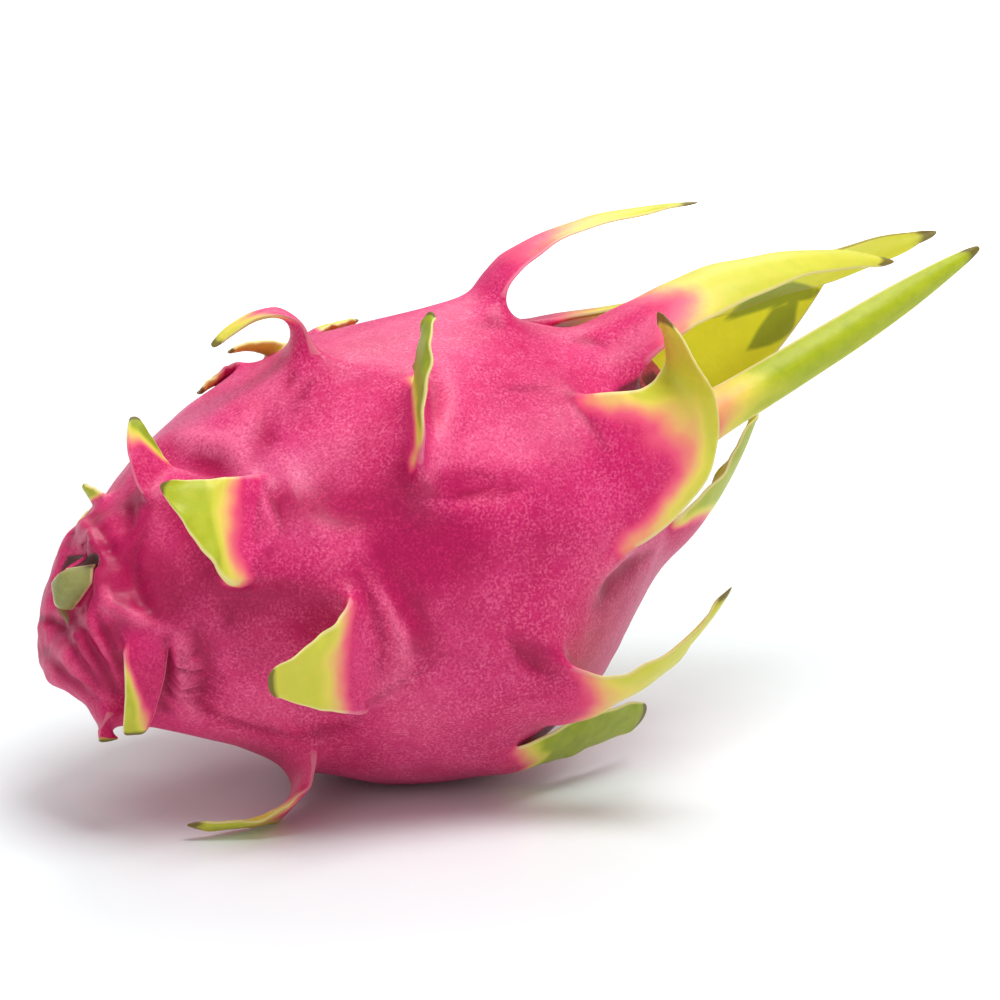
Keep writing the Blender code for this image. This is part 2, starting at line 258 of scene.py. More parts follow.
def lay_body(chosen):
    """Where each cage corner lies, as place, angle and radius, drawn towards the bracts near it."""
    anchors = []
    for bract in BRACTS:
        place, angle = block_middle(bract, *chosen[bract.name])
        shift = (bract.place - place, turn_between(bract.angle, angle))
        anchors.append((place, angle, shift))
    cells = {}
    for j, (place, radius) in enumerate(RINGS):
        for k in range(COLUMNS):
            angle = k * COLUMN_ANGLE
            total, along, turned = HOLD, 0.0, 0.0
            for near_place, near_angle, shift in anchors:
                side = math.radians(turn_between(angle, near_angle)) * max(radius, DRAWN_RADIUS)
                far = math.hypot(place - near_place, side)
                weight = 1.0 / (max(far, DRAWN_DISTANCE) ** 4)
                total += weight
                along += weight * shift[0]
                turned += weight * shift[1]
            moved = place
            if FIRST_ROW <= j < len(RINGS) - FIRST_ROW:
                moved += along / total
            cells[j, k] = [moved, angle + turned / total, radius]
    for bract in BRACTS:
        slew = math.radians(bract.slew)
        for side, corners in enumerate(block(bract, *chosen[bract.name])):
            for c, corner in enumerate(corners):
                along = (side - 0.5) * ROOT_DEPTH
                across = (c / bract.columns - 0.5) * bract.width * bract.flare
                cell = cells[corner]
                cell[0] = bract.place + along * math.cos(slew) - across * math.sin(slew)
                turned = (along * math.sin(slew) + across * math.cos(slew)) / skin_radius(cell[0])
                cell[1] = bract.angle + math.degrees(turned)
    for (j, k), cell in cells.items():
        if FIRST_ROW <= j < len(RINGS) - FIRST_ROW + 1:
            cell[2] = skin_radius(cell[0])
            for place, angle, height, length, width in SWELLINGS:
                side = math.radians(turn_between(cell[1], angle)) * cell[2]
                cell[2] += height * math.exp(-((cell[0] - place) / length) ** 2 - (side / width) ** 2)
            for bract in BRACTS:
                towards = -1.0 if bract.points[-1][0] > 0 else 1.0
                near = cell[0] - (bract.place + towards * RIDGE_AHEAD)
                side = math.radians(turn_between(cell[1], bract.angle)) * cell[2]
                ridge = math.exp(-(near / RIDGE_LENGTH) ** 2 - (side / (bract.width * RIDGE_WIDTH)) ** 2)
                cell[2] += bract.lift * ridge
    return cells


def curve_point(points, t):
    """A point of the curve that the given points draw, by repeated halving between them."""
    row = [Vector(p) for p in points]
    while len(row) > 1:
        row = [a.lerp(b, t) for a, b in zip(row, row[1:])]
    return row[0]


# What the vertices of a bract carry: how far along it (t, 0 to 1) and across it (u, -1 to 1) they lie, how
# far from its margin, which of its two faces they are on, which bract it is, and the way its blade faces.
Blade = namedtuple("Blade", "t u margin face kind normal")
ROOT_MARGIN = 4.0
BODY_MARGIN = 8.0


def grow_bract(bm, bract, chosen, table, columns, sides, blade):
    """Extrudes a bract from its faces, ring by ring along its curve."""
    corners = [[table[corner] for corner in row] for row in block(bract, *chosen[bract.name])]
    for side in (0, 1):
        for c, vert in enumerate(corners[side]):
            vert[columns] = c
            vert[sides] = side
            vert[blade.kind] = BRACTS.index(bract) + 1
            vert[blade.u] = 2 * c / bract.columns - 1
            vert[blade.margin] = ROOT_MARGIN
            vert[blade.face] = side
    faces = []
    for c in range(bract.columns):
        ring = {corners[0][c], corners[0][c + 1], corners[1][c], corners[1][c + 1]}
        faces += [f for f in corners[0][c].link_faces if set(f.verts) == ring]
    angle = math.radians(bract.angle)
    slewed = Matrix.Rotation(math.radians(bract.slew), 3, outward(angle))
    stance = slewed @ Matrix((ALONG, outward(angle), around(angle))).transposed()
    level = stance @ Vector((0, 0, 1))
    root = skin_point(bract.place, angle, skin_radius(bract.place) + bract.lift * RIDGE_AT_ROOT)
    points = ((0, 0, 0),) + bract.points
    for t in RING_PLACES:
        centre = root + stance @ curve_point(points, t) * MM
        ahead = curve_point(points, min(t + HEADING_STEP, 1.0))
        behind = curve_point(points, max(t - HEADING_STEP, 0.0))
        heading = (stance @ (ahead - behind)).normalized()
        normal = heading.cross(level).normalized()
        across = normal.cross(heading)
        turned = Matrix.Rotation(math.radians(bract.turn) * t, 3, heading)
        normal, across = turned @ normal, turned @ across
        width = max(bract.width * (1 - t) ** bract.taper, bract.tip)
        thick = max(bract.thick * (1 - t) ** THINNING, TIP_THICKNESS)
        grown = bmesh.ops.extrude_face_region(bm, geom=faces)["geom"]
        bmesh.ops.delete(bm, geom=faces, context="FACES")
        faces = [g for g in grown if isinstance(g, bmesh.types.BMFace)]
        ring = {v for f in faces for v in f.verts}
        for vert in ring:
            u = 2 * vert[columns] / bract.columns - 1
            flank = 1 - abs(u)
            vert[blade.t], vert[blade.u], vert[blade.margin] = t, u, flank * width / 2
            vert[blade.face], vert[blade.kind] = vert[sides], BRACTS.index(bract) + 1
            vert[blade.normal] = normal
            half = (EDGE_THICKNESS + (thick - EDGE_THICKNESS) * flank) / 2
            lean = -bract.hollow * width / bract.width * (u * u - 0.5)
            out = half if vert[sides] == 0 else -half
            vert.co = centre + across * (u * width / 2) * MM + normal * (out + lean) * MM
        sunk = min(min(vert.co.z for vert in ring) - GROUND, 0.0)
        for vert in ring:
            vert.co.z -= sunk


def dragon_fruit():
    """The cage of the whole fruit, whose vertices carry what the rind's sculpting and colours need."""
    bm = bmesh.new()
    columns = bm.verts.layers.int.new("column")
    sides = bm.verts.layers.int.new("side")
    blade = Blade(
        t=bm.verts.layers.float.new("t"),
        u=bm.verts.layers.float.new("u"),
        margin=bm.verts.layers.float.new("margin"),
        face=bm.verts.layers.float.new("face"),
        kind=bm.verts.layers.float.new("kind"),
        normal=bm.verts.layers.float_vector.new("blade_normal"),
    )
    stub = bm.verts.layers.float.new("stub")
    scar = bm.verts.layers.float.new("scar")
    bmesh.ops.create_uvsphere(bm, u_segments=COLUMNS, v_segments=len(RINGS) + 1, radius=1.0)
    chosen = choose_blocks()
    cells = lay_body(chosen)
    table = {}
    poles = sorted((v for v in bm.verts if abs(v.co.z) > 0.9999), key=lambda v: v.co.z)
    for vert in bm.verts:
        vert[blade.margin] = BODY_MARGIN
        if vert in poles:
            continue
        j = round((math.pi - math.acos(vert.co.z)) / math.pi * (len(RINGS) + 1)) - 1
        k = round(math.degrees(math.atan2(vert.co.y, vert.co.x)) / COLUMN_ANGLE) % COLUMNS
        table[j, k] = vert
    for key, vert in table.items():
        place, angle, radius = cells[key]
        shift = STEM_SHIFT_PARTS[key[0]] if key[0] < len(STEM_SHIFT_PARTS) else 0.0
        vert.co = skin_point(place, math.radians(angle), radius, shift)
        vert[stub] = max(1.0 - 0.5 * key[0], 0.0)
        vert[scar] = max(1.0 - 0.5 * (len(RINGS) - 1 - key[0]), 0.0)
    poles[0].co = skin_point(STUB_END, 0.0, 0.0, 1.0)
    poles[1].co = skin_point(SCAR_END, 0.0, 0.0)
    poles[0][stub] = poles[1][scar] = 1.0
    bm.normal_update()
    bmesh.ops.recalc_face_normals(bm, faces=bm.faces[:])
    for bract in BRACTS:
        grow_bract(bm, bract, chosen, table, columns, sides, blade)
    mesh = bpy.data.meshes.new("rind")
    bm.to_mesh(mesh)
    bm.free()
    return bpy.data.objects.new("rind", mesh)


rind = dragon_fruit()
bpy.context.scene.collection.objects.link(rind)
rounding = rind.modifiers.new("rounding", "SUBSURF")
rounding.levels = rounding.render_levels = SUBDIVISIONS
bpy.context.view_layer.update()
rounded = bpy.data.meshes.new_from_object(rind.evaluated_get(bpy.context.evaluated_depsgraph_get()))
rind.modifiers.remove(rounding)

# The rind's skin and edges
# Young skin is drawn tight between the bracts: ridges run down from their roots, grooves lie beside
# them, and fine creases gather round the stem. The bracts' margins dry first, so they wave and curl.


def of_vertices(mesh, field):
    """Each vertex's place or normal, as a row of three numbers."""
    values = np.zeros(len(mesh.vertices) * 3, np.float32)
    mesh.vertices.foreach_get(field, values)
    return values.reshape(-1, 3).astype(float)


def read(mesh, name):
    """The number that each vertex carries under that name."""
    values = np.zeros(len(mesh.vertices), np.float32)
    mesh.attributes[name].data.foreach_get("value", values)
    return values.astype(float)


def read_vectors(mesh, name):
    """The direction that each vertex carries under that name."""
    values = np.zeros(len(mesh.vertices) * 3, np.float32)
    mesh.attributes[name].data.foreach_get("vector", values)
    return values.reshape(-1, 3).astype(float)


def write(mesh, name, values):
    """Gives each vertex a number to carry, which the material reads."""
    layer = mesh.attributes.new(name, "FLOAT", "POINT")
    layer.data.foreach_set("value", np.asarray(values, np.float32))


def ease(low, high, values):
    """0 below low, 1 above high, and a smooth rise between."""
    x = np.clip((values - low) / (high - low), 0.0, 1.0)
    return x * x * (3 - 2 * x)


def grain(points, size, seed):
    """Soft noise from -1 to 1 at each point, whose lumps are about that many millimetres across."""
    shift = Vector((seed * 17.3, seed * 5.1, seed * 9.7))
    return np.array([noise.noise(Vector(p) / size + shift) for p in points])


# Where the camera stands: turned and raised this much from the front, in millimetres, with the body's
# middle at SEEN_AT in a square picture of PHOTO_SIZE pixels.
PHOTO_SIZE = 1000
PIXELS_A_MM = 5.4
SEEN_AT = (367, 554)
TURN = math.radians(25)
ELEVATION = math.radians(16)
DISTANCE = 750.0
SEEN_ABOVE_CENTRE = 1.3
back = Vector(
    (-math.sin(TURN) * math.cos(ELEVATION), -math.cos(TURN) * math.cos(ELEVATION), math.sin(ELEVATION))
)
right = Vector((math.cos(TURN), -math.sin(TURN), 0))
up = back.cross(right)
seen = CENTRE / MM + Vector((0, 0, SEEN_ABOVE_CENTRE))
seen_right = (SEEN_AT[0] - PHOTO_SIZE / 2) / PIXELS_A_MM
seen_below = (SEEN_AT[1] - PHOTO_SIZE / 2) / PIXELS_A_MM
aim = seen - right * seen_right + up * seen_below

# Ridges (height above 0) and grooves (below 0) of the side that faces the camera, in millimetres. Their
# places are steps along and down the picture.
Fold = namedtuple("Fold", "height width path")
FOLDS = (
    # Beside and below the foot of the edge-on bract
    Fold(0.9, 1.8, ((443, 367), (453, 393), (447, 423), (437, 457), (427, 485))),
    Fold(-0.7, 1.8, ((425, 375), (430, 405), (425, 440))),
    Fold(0.6, 1.4, ((418, 450), (426, 480), (425, 508))),
    Fold(-0.6, 2.6, ((412, 462), (404, 478), (400, 492))),
    Fold(-0.45, 1.0, ((436, 477), (470, 472), (497, 477))),
    Fold(-0.5, 1.1, ((437, 495), (473, 494), (517, 487))),
    Fold(0.35, 1.2, ((437, 511), (480, 505), (517, 510))),
    Fold(-0.35, 1.0, ((507, 388), (530, 387), (550, 387))),
    # Round the root of the front flap
    Fold(-1.0, 6.0, ((385, 525), (420, 540), (455, 560))),
    Fold(0.9, 2.0, ((357, 537), (373, 573), (390, 607), (407, 643), (405, 667), (393, 690))),
    Fold(-1.0, 2.4, ((377, 555), (400, 590), (420, 625), (424, 645))),
    Fold(-0.5, 1.5, ((362, 575), (374, 607), (384, 643), (379, 672))),
    Fold(0.7, 1.8, ((277, 455), (290, 475), (296, 502), (308, 525), (335, 537), (357, 540))),
    Fold(-0.7, 4.5, ((305, 480), (340, 503), (378, 512))),
    Fold(0.4, 3.0, ((328, 548), (342, 575))),
    # Right of the stem flap
    Fold(0.6, 1.0, ((257, 487), (268, 512), (275, 534))),
    Fold(-0.55, 1.0, ((264, 484), (275, 508), (284, 532))),
    Fold(0.5, 1.0, ((253, 490), (249, 512), (247, 535))),
    Fold(-0.5, 0.9, ((259, 500), (259, 518), (256, 540))),
    Fold(-0.8, 1.1, ((272, 550), (246, 575), (222, 606))),
    Fold(-0.8, 1.1, ((266, 570), (244, 598), (228, 622))),
    Fold(0.5, 1.1, ((262, 556), (240, 585), (218, 620))),
    # Round the hook's root
    Fold(0.9, 1.6, ((272, 398), (248, 422), (234, 440), (238, 458), (251, 476))),
    Fold(-0.5, 2.2, ((268, 405), (264, 428), (258, 452))),
    Fold(-0.7, 1.0, ((313, 380), (301, 396), (294, 413))),
    Fold(-0.6, 1.0, ((293, 372), (288, 386))),
    Fold(-0.5, 1.1, ((274, 428), (270, 447))),
    Fold(0.5, 1.7, ((333, 361), (305, 378), (297, 400))),
    # The shoulder and the roots of the crown
    Fold(-0.5, 1.2, ((478, 325), (492, 320), (505, 325))),
    Fold(-0.5, 1.2, ((573, 341), (590, 338), (607, 344))),
    Fold(-0.7, 1.3, ((572, 396), (582, 410), (597, 430), (607, 450))),
    Fold(0.4, 1.3, ((566, 402), (576, 420), (588, 440))),
    Fold(1.1, 1.2, ((646, 541), (622, 554), (603, 572), (589, 598))),
    Fold(-1.2, 1.3, ((650, 553), (630, 566), (613, 583), (599, 608))),
    Fold(-1.2, 1.6, ((510, 640), (525, 660), (552, 676))),
    Fold(0.6, 1.4, ((505, 640), (516, 662), (536, 680))),
    # The belly
    Fold(-0.5, 1.1, ((213, 713), (243, 725), (273, 733), (300, 737))),
    Fold(-0.45, 1.2, ((300, 737), (333, 731), (360, 720))),
    Fold(-0.35, 1.3, ((367, 705), (393, 688), (427, 667), (453, 650))),
    # Above the stem flap
    Fold(0.9, 1.8, ((165, 440), (188, 440), (226, 444), (240, 458))),
    Fold(-1.1, 2.2, ((178, 457), (208, 466), (236, 474))),
    # The lobes and creases round the stem
    Fold(1.3, 1.7, ((101, 577), (111, 606), (137, 619), (163, 626))),
    Fold(-1.3, 1.6, ((119, 556), (132, 577), (142, 601), (156, 615))),
    Fold(2.2, 2.4, ((84, 528), (98, 543), (108, 553))),
    Fold(-1.4, 1.2, ((92, 520), (108, 546), (118, 562))),
    Fold(-1.1, 1.1, ((80, 500), (72, 520), (68, 545))),
    Fold(-1.1, 1.1, ((128, 495), (129, 515), (126, 538))),
    Fold(-1.3, 1.1, ((40, 618), (55, 622), (70, 628))),
    Fold(-1.2, 1.1, ((44, 650), (67, 681), (95, 698))),
    Fold(0.7, 1.2, ((50, 640), (72, 670), (98, 690))),
    Fold(-1.0, 0.9, ((77, 619), (88, 640), (106, 668), (116, 690))),
    Fold(-1.0, 0.9, ((98, 616), (108, 640), (120, 664))),
    Fold(-0.8, 0.9, ((64, 629), (80, 660), (98, 684))),
    Fold(0.8, 1.1, ((87, 617), (98, 640), (113, 668))),
    Fold(0.6, 1.0, ((70, 622), (82, 645), (100, 675))),
    Fold(-0.8, 0.9, ((112, 625), (122, 645), (128, 665))),
    Fold(-1.0, 1.0, ((140, 540), (133, 560), (136, 580))),
    Fold(2.4, 1.9, ((178, 636), (186, 676), (190, 714))),
    Fold(-1.5, 1.2, ((166, 640), (169, 676), (165, 706))),
    Fold(-1.6, 1.5, ((199, 632), (204, 676), (203, 712))),
    Fold(-0.8, 0.8, ((182, 650), (192, 680), (197, 706))),
)


# Painted shade deepens the skin (above 0) and painted highlight makes it paler (below 0): how much, how wide,
# and where.
Shade = namedtuple("Shade", "amount width path")
SHADES = (
    # Beside and below the foot of the edge-on bract
    Shade(0.6, 1.6, ((410, 400), (404, 470))),
    Shade(0.6, 3.0, ((430, 490), (470, 482), (515, 478))),
    Shade(-0.9, 3.8, ((440, 452), (480, 456), (520, 448))),
    Shade(-0.6, 1.4, ((443, 370), (452, 400), (440, 440), (428, 476))),
    Shade(-0.5, 1.2, ((437, 506), (480, 502), (520, 500))),
    # Round the root of the front flap
    Shade(1.0, 3.4, ((285, 500), (335, 517), (380, 505), (412, 478))),
    Shade(0.9, 5.5, ((252, 588), (300, 592), (318, 608))),
    Shade(1.0, 5.5, ((372, 560), (410, 560), (470, 545))),
    Shade(0.9, 3.0, ((362, 566), (395, 610), (420, 642))),
    Shade(0.6, 6.0, ((430, 575), (452, 600))),
    Shade(-0.5, 3.4, ((352, 440), (384, 434))),
    Shade(-0.9, 1.8, ((357, 545), (378, 580), (396, 625), (402, 668), (385, 690))),
    Shade(-0.4, 1.6, ((325, 538), (340, 550), (352, 568))),
    Shade(-0.9, 0.8, ((356, 562), (376, 590), (398, 625), (404, 655))),
    Shade(0.8, 3.0, ((395, 560), (404, 600), (424, 636))),
    # Round the stem flap and the hook's root
    Shade(0.7, 1.6, ((228, 610), (250, 580), (272, 556))),
    Shade(0.8, 3.2, ((168, 504), (198, 545), (214, 585))),
    Shade(0.7, 3.0, ((225, 520), (235, 560))),
    Shade(-0.6, 2.6, ((276, 372), (254, 408), (238, 436))),
    Shade(-0.6, 1.6, ((236, 462), (256, 482), (264, 510))),
    # The shoulder and the root of the front reach
    Shade(1.0, 2.2, ((525, 655), (550, 667))),
    Shade(0.8, 1.4, ((572, 396), (597, 430), (612, 465))),
    Shade(0.4, 6.0, ((560, 470), (540, 540))),
    Shade(-0.4, 1.0, ((640, 545), (618, 557), (600, 574), (588, 596))),
    Shade(1.1, 2.6, ((532, 652), (556, 664))),
    Shade(-0.5, 1.2, ((590, 568), (604, 543), (622, 516), (642, 494))),
    # The belly
    Shade(0.5, 1.6, ((300, 740), (360, 726), (400, 700))),
    Shade(0.5, 4.5, ((236, 632), (258, 655))),
    Shade(-0.6, 6.0, ((240, 720), (330, 690), (420, 715))),
    # The lobes and creases round the stem
    Shade(1.0, 2.2, ((92, 545), (112, 580), (125, 625))),
    Shade(0.9, 2.2, ((78, 512), (100, 535), (112, 560))),
    Shade(0.5, 5.0, ((150, 560), (180, 600))),
    Shade(0.8, 1.6, ((148, 500), (138, 530))),
    Shade(0.9, 2.6, ((60, 600), (84, 640), (110, 680))),
    Shade(0.8, 2.0, ((150, 590), (160, 612))),
    Shade(-0.6, 1.2, ((86, 524), (100, 540), (110, 550))),
    Shade(-0.7, 1.2, ((102, 585), (114, 608), (140, 620), (160, 628))),
    Shade(1.2, 0.9, ((96, 517), (108, 538), (119, 557))),
    Shade(1.0, 2.4, ((104, 566), (118, 576), (130, 590))),
    Shade(1.2, 1.5, ((98, 580), (92, 596), (84, 606))),
    Shade(1.0, 0.8, ((133, 550), (130, 572), (137, 594), (152, 604))),
    Shade(1.0, 0.8, ((40, 617), (55, 622), (72, 628))),
    Shade(-0.8, 0.8, ((42, 664), (70, 684), (114, 702))),
    Shade(1.0, 0.8, ((50, 650), (67, 672), (96, 694))),
    Shade(0.9, 0.7, ((90, 640), (106, 668), (116, 692))),
    Shade(0.9, 0.7, ((108, 636), (116, 655), (122, 672))),
    Shade(-0.7, 0.7, ((99, 640), (110, 662), (120, 690))),
    Shade(0.8, 0.7, ((72, 640), (84, 662), (100, 684))),
    Shade(-0.9, 1.3, ((50, 606), (46, 612), (56, 616))),
    Shade(0.9, 2.0, ((140, 500), (136, 530))),
    Shade(-1.3, 1.4, ((180, 645), (187, 680), (190, 710))),
    Shade(1.4, 1.3, ((202, 636), (207, 676), (205, 710))),
    Shade(1.2, 1.0, ((168, 640), (171, 676), (167, 708))),
    Shade(0.7, 4.5, ((130, 555), (150, 575), (165, 600))),
    Shade(-0.6, 2.6, ((52, 640), (78, 678))),
)


def in_millimetres(points):
    """Points of the picture, as millimetres to the right of and above the body's middle."""
    return [np.array(((x - SEEN_AT[0]) / PIXELS_A_MM, (SEEN_AT[1] - y) / PIXELS_A_MM)) for x, y in points]


def near_path(seen_places, points):
    """How far each seen place is from a path in the picture, how far along it, and the path's length."""
    path = in_millimetres(points)
    nearest = np.full(len(seen_places), np.inf)
    done, length = np.zeros(len(seen_places)), 0.0
    for a, b in zip(path, path[1:]):
        stretch = np.linalg.norm(b - a)
        part = np.clip((seen_places - a) @ (b - a) / stretch**2, 0, 1)
        gap = np.linalg.norm(seen_places - a - part[:, None] * (b - a), axis=1)
        closer = gap < nearest
        nearest[closer] = gap[closer]
        done[closer] = (length + part * stretch)[closer]
        length += stretch
    return nearest, done, length


def inside_outline(seen_places, points):
    """How deep each seen place lies inside a closed outline in the picture, below 0 outside it."""
    closed = points + points[:1]
    nearest, _, _ = near_path(seen_places, closed)
    path = in_millimetres(closed)
    inside = np.zeros(len(seen_places), bool)
    x, y = seen_places[:, 0], seen_places[:, 1]
    for (ax, ay), (bx, by) in zip(path, path[1:]):
        if ay != by:
            crosses = (ay > y) != (by > y)
            inside ^= crosses & (x < ax + (y - ay) * (bx - ax) / (by - ay))
    return np.where(inside, nearest, -nearest)


def seen_from_camera(points):
    """Where each point is seen, in millimetres to the right of and above the body's middle."""
    offset = points - np.array(aim)
    far = 1 - offset @ np.array(back) / DISTANCE
    flat = np.stack((offset @ np.array(right), offset @ np.array(up)), 1) / far[:, None]
    return flat + np.array((-seen_right, seen_below))


FADE = 0.3


def fold_relief(seen_places, fold):
    """The height that one fold adds at each seen place, fading out over its ends."""
    nearest, done, length = near_path(seen_places, fold.path)
    fade = np.clip(np.minimum(done, length - done) / (FADE * length), FADE, 1.0)
    return fold.height * fade * np.exp(-(nearest / fold.width) ** 2)


def kinds(*names):
    """The numbers by which the vertices of these bracts are known."""
    return [k + 1 for k, bract in enumerate(BRACTS) if bract.name in names]


places = of_vertices(rounded, "co") / MM
facing = of_vertices(rounded, "normal")
t, u, margin = read(rounded, "t"), read(rounded, "u"), read(rounded, "margin")
face, kind = read(rounded, "face"), np.rint(read(rounded, "kind")).astype(int)
across_blade = read_vectors(rounded, "blade_normal")
stub = read(rounded, "stub")
on_body = 1 - ease(0.0, 0.10, t)

# Each vertex's place along the fruit, above its middle and towards the camera, in millimetres.
offset = places - np.array(CENTRE) / MM
along = offset @ np.array(ALONG)
above = offset @ np.array(UPWARD)
nearness = offset @ np.array(back)
stem_end = ease(-38.0, -54.0, along)

# The skin rises and sinks a little everywhere.
swell = 0.5 * grain(places, 15.0, 1) + 0.22 * grain(places, 6.0, 2)

# The near side's folds lie on what faces the camera.
before_camera = ease(-0.05, 0.25, facing @ np.array(back))
seen_places = seen_from_camera(places)
folds = before_camera * sum(fold_relief(seen_places, fold) for fold in FOLDS)

# The stem was cut to a flat, dry plate with a shred hanging from it, in a pit darkened by painted shadow. A
# painted shadow darkens the slit between the shoulder's bract and the crown. Each has its outline in the
# picture, and lies only on skin that is at least so much nearer to the camera than the body's middle, or for
# the slit within so much of it.
PLATE_NEARNESS = 28
SHRED_NEARNESS = 22
PIT_NEARNESS = 20
SLIT_NEARNESS = 12
SLIT_START, SLIT_END = 40, 60
PLATE = ((54, 584), (66, 567), (95, 563), (93, 583), (68, 611), (59, 611))
SHRED = ((58, 608), (68, 609), (72, 622), (66, 626))
PIT = ((58, 574), (66, 556), (98, 554), (100, 566))
SLIT = ((606, 398), (622, 386), (645, 376), (668, 362), (674, 366), (664, 384), (648, 395))
OUTSIDE = -5.0
at_stem = ease(-50.0, -54.0, along) * before_camera > 0.5
plate = np.where(at_stem & (nearness > PLATE_NEARNESS), inside_outline(seen_places, PLATE), OUTSIDE)
shred = np.where(at_stem & (nearness > SHRED_NEARNESS), inside_outline(seen_places, SHRED), OUTSIDE)
shadowed_pit = np.where(at_stem & (nearness > PIT_NEARNESS), inside_outline(seen_places, PIT), OUTSIDE)
behind_shoulder = ~np.isin(kind, kinds("front shoulder")) & (before_camera > 0.2)
under_crown = behind_shoulder & (along > SLIT_START) & (along < SLIT_END) & (np.abs(nearness) < SLIT_NEARNESS)
slit_shadow = np.where(under_crown, inside_outline(seen_places, SLIT), OUTSIDE)

# Inside the crown the far bracts glow yellow where light comes through, and are dark green in the shade.
SHADED = (
    ((722, 323), (736, 305), (762, 288), (792, 281), (832, 292), (812, 299), (776, 306), (750, 314)),
    ((745, 352), (760, 325), (776, 304), (797, 304), (795, 330), (776, 344)),
)
far_bracts = np.isin(kind, kinds("crown far", "crown back")) & (along > 30)
inner = far_bracts * ease(0.06, 0.20, t) * before_camera
shaded = np.maximum(*(inside_outline(seen_places, outline) for outline in SHADED))
shaded = np.where(inner > 0.5, shaded, OUTSIDE)

# On every side, fine creases run lengthwise in patches, and closer together round the stem.
CREASE_WIDTH, CREASE_DRAWN_OUT = 4.0, 0.16
PATCH_WIDTH = 22.0
CREASE_DEPTH, STEM_CREASE_DEPTH = 0.16, 0.45
drawn_out = np.stack((along * CREASE_DRAWN_OUT, offset @ np.array(FRONT), above), 1)
creases = np.abs(grain(drawn_out, CREASE_WIDTH, 6)) * 2 - 0.6
patches = ease(-0.1, 0.4, grain(places, PATCH_WIDTH, 7))
creases *= CREASE_DEPTH * patches + STEM_CREASE_DEPTH * stem_end * (1 - 0.4 * before_camera)
skin_relief = on_body * (swell + (1 - stub) * (folds + creases))

# The plate and the shred stand out of the skin, and the pit is sunk in it.
PLATE_HEIGHT, SHRED_HEIGHT, STEM_PIT_DEPTH = 0.9, 0.4, 0.7
stem_relief = PLATE_HEIGHT * ease(-0.5, 0.6, plate) + SHRED_HEIGHT * ease(-0.5, 0.4, shred)
stem_relief -= STEM_PIT_DEPTH * ease(-0.6, 0.4, shadowed_pit)
places = places + facing * (skin_relief + stem_relief)[:, None]

# Each bract's margin waves from side to side, more towards its tip and more on the broad ones.
FULL_BREADTH = 20.0
WAVE_HEIGHT = 0.38
phase = 1.7 * kind
breadth = np.array([0.0] + [min(bract.width / FULL_BREADTH, 1.0) for bract in BRACTS])[kind]
edge_near = np.abs(u) ** 2 * ease(0.05, 0.4, t) * breadth**2
wave = WAVE_HEIGHT * edge_near * (np.sin(14 * t + phase + 2 * u) + 0.5 * np.sin(31 * t + 2.3 * phase))
places = places + across_blade * wave[:, None]

# The rind's colours
# The skin is pink to magenta with fine pale specks, and painted shade makes it deeper in its hollows. Each
# bract turns from pink through salmon and yellow to green on its way out, first along its margins, and its
# tip dries brown.

# For each bract: how far along it the pink begins to turn and has turned, how green its tip gets (1 is
# deep green), how much sooner the margins turn, how much sooner the face towards the crown turns, how
# much of the tip is brown, how dark its edge line is (0 is cream, 1 is brown), and how much sooner one
# margin turns than the other.
Tint = namedtuple(
    "Tint", "start end green rim crown_face brown edge lean", defaults=(0.15, 0.0, 0.05, 0.1, 0.0)
)
NOT_A_BRACT = Tint(2.0, 3.0, 0.0)
PLAIN = Tint(0.25, 0.75, 0.75)
TINTS = {
    "top long": Tint(0.28, 1.15, 0.80, rim=0.06, crown_face=-0.22, brown=0.02),
    "top hook": Tint(0.50, 0.98, 0.74, rim=0.20, crown_face=-0.25, brown=0.05, edge=0.3),
    "edge on": Tint(0.30, 0.66, 0.92, rim=0.20, crown_face=-0.35, brown=0.03),
    "shoulder small": Tint(0.50, 0.95, 0.92, rim=0.20, brown=0.06, edge=0.2, lean=0.25),
    "stem flap": Tint(0.10, 0.60, 0.85, rim=0.10, lean=-0.20),
    "front flap": Tint(0.20, 0.66, 0.74, rim=0.10, lean=0.10),
    "front foot": Tint(0.42, 0.88, 0.80, rim=0.15, brown=0.05, edge=0.3),
    "front reach": Tint(0.08, 0.56, 0.74, rim=0.08, brown=0.05, edge=0.2),
    "rear foot": Tint(0.02, 0.30, 0.92, rim=0.05, brown=0.03),
    "front shoulder": Tint(0.14, 0.86, 0.76, rim=0.40, brown=0.03, edge=0.1),
    "crown top": Tint(0.14, 0.52, 0.76, rim=0.05, brown=0.02, edge=0.3),
    "crown front": Tint(-0.06, 0.40, 0.88, rim=0.05, brown=0.04, edge=0.3),
    "crown far": Tint(0.05, 0.35, 0.80, rim=0.05, brown=0.04, edge=0.8),
    "crown under": Tint(0.18, 0.45, 0.86, rim=0.20, brown=0.03, edge=0.2),
    "crown back": Tint(0.05, 0.35, 0.86, rim=0.10, brown=0.04, edge=0.4),
    "stem low": Tint(0.52, 0.95, 0.80, rim=0.12, lean=0.38),
    "stem under": Tint(0.85, 1.05, 0.90, rim=0.05, brown=0.25, edge=0.3),
    "stem top": Tint(0.20, 0.55, 0.86),
    "back hook": Tint(0.05, 0.30, 0.72),
    "back red": Tint(0.55, 1.10, 0.55, rim=0.30, brown=0.06, edge=0.3),
    "back dark": Tint(0.15, 0.45, 0.74, brown=0.10, edge=0.3),
}
tints = [NOT_A_BRACT] + [TINTS.get(bract.name, PLAIN) for bract in BRACTS]


def of_bracts(field):
    """That number of the tint of each vertex's bract."""
    return np.array([getattr(tint, field) for tint in tints])[kind]


